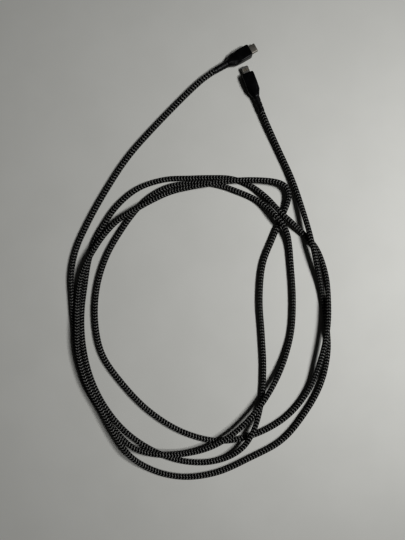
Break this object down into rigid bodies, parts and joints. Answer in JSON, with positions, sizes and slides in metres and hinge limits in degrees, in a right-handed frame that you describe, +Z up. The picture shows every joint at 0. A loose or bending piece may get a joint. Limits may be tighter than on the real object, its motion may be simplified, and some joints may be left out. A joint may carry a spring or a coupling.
{
  "type": "charging cable",
  "caption": "Black braided charging cable in loose overlapping loops, with an oval metal-shelled plug at one end and a flat metal tongue plug at the other.",
  "frame": {"origin": "middle of the whole cable's outline, on the table it lies on", "axes": "+Z up off the table; +Y across the table from the bottom of the loops towards the plugs; +X to the right of that"},
  "size_m": [0.2484, 0.4131, 0.0108],
  "materials": {
    "cord_braid": "woven, matt, with fine grey flecks",
    "casing_plastic": "satin black moulding",
    "sleeve_rubber": "matt black",
    "plug_steel": "satin nickel plate",
    "tinned_steel": "dull tin plate",
    "gold_contacts": "bright gold plate",
    "insert_plastic": "moulded black",
    "inner_mould_plastic": "translucent off-white moulding",
    "inner_jacket": "soft matt black",
    "board_laminate": "green solder mask",
    "chip_plastic": "moulded black",
    "red_wire": "smooth insulation",
    "white_wire": "smooth insulation",
    "green_wire": "smooth insulation",
    "black_wire": "smooth insulation"
  },
  "bodies": {
    "root": {"braided_cord": "cord_braid", "tongue_plug_casing": "casing_plastic", "tongue_plug_circuit_board": "board_laminate", "tongue_plug_contact_carrier": "insert_plastic", "tongue_plug_control_chip": "chip_plastic", "tongue_plug_crimp_ring": "tinned_steel", "tongue_plug_data_wire_green": "green_wire", "tongue_plug_data_wire_white": "white_wire", "tongue_plug_ground_wire": "black_wire", "tongue_plug_inner_cable": "inner_jacket", "tongue_plug_inner_mould": "inner_mould_plastic", "tongue_plug_lower_contacts": "gold_contacts", "tongue_plug_metal_frame": "plug_steel", "tongue_plug_power_wire": "red_wire", "tongue_plug_shield_can": "tinned_steel", "tongue_plug_strain_relief": "sleeve_rubber", "tongue_plug_upper_contacts": "gold_contacts", "type_c_plug_casing": "casing_plastic", "type_c_plug_circuit_board": "board_laminate", "type_c_plug_contact_housing": "insert_plastic", "type_c_plug_control_chip": "chip_plastic", "type_c_plug_crimp_ring": "tinned_steel", "type_c_plug_data_wire_green": "green_wire", "type_c_plug_data_wire_white": "white_wire", "type_c_plug_ground_wire": "black_wire", "type_c_plug_inner_cable": "inner_jacket", "type_c_plug_inner_mould": "inner_mould_plastic", "type_c_plug_latch_spring": "plug_steel", "type_c_plug_lower_contacts": "gold_contacts", "type_c_plug_metal_shell": "plug_steel", "type_c_plug_power_wire": "red_wire", "type_c_plug_shield_can": "tinned_steel", "type_c_plug_strain_relief": "sleeve_rubber", "type_c_plug_upper_contacts": "gold_contacts"}
  },
  "joints": []
}
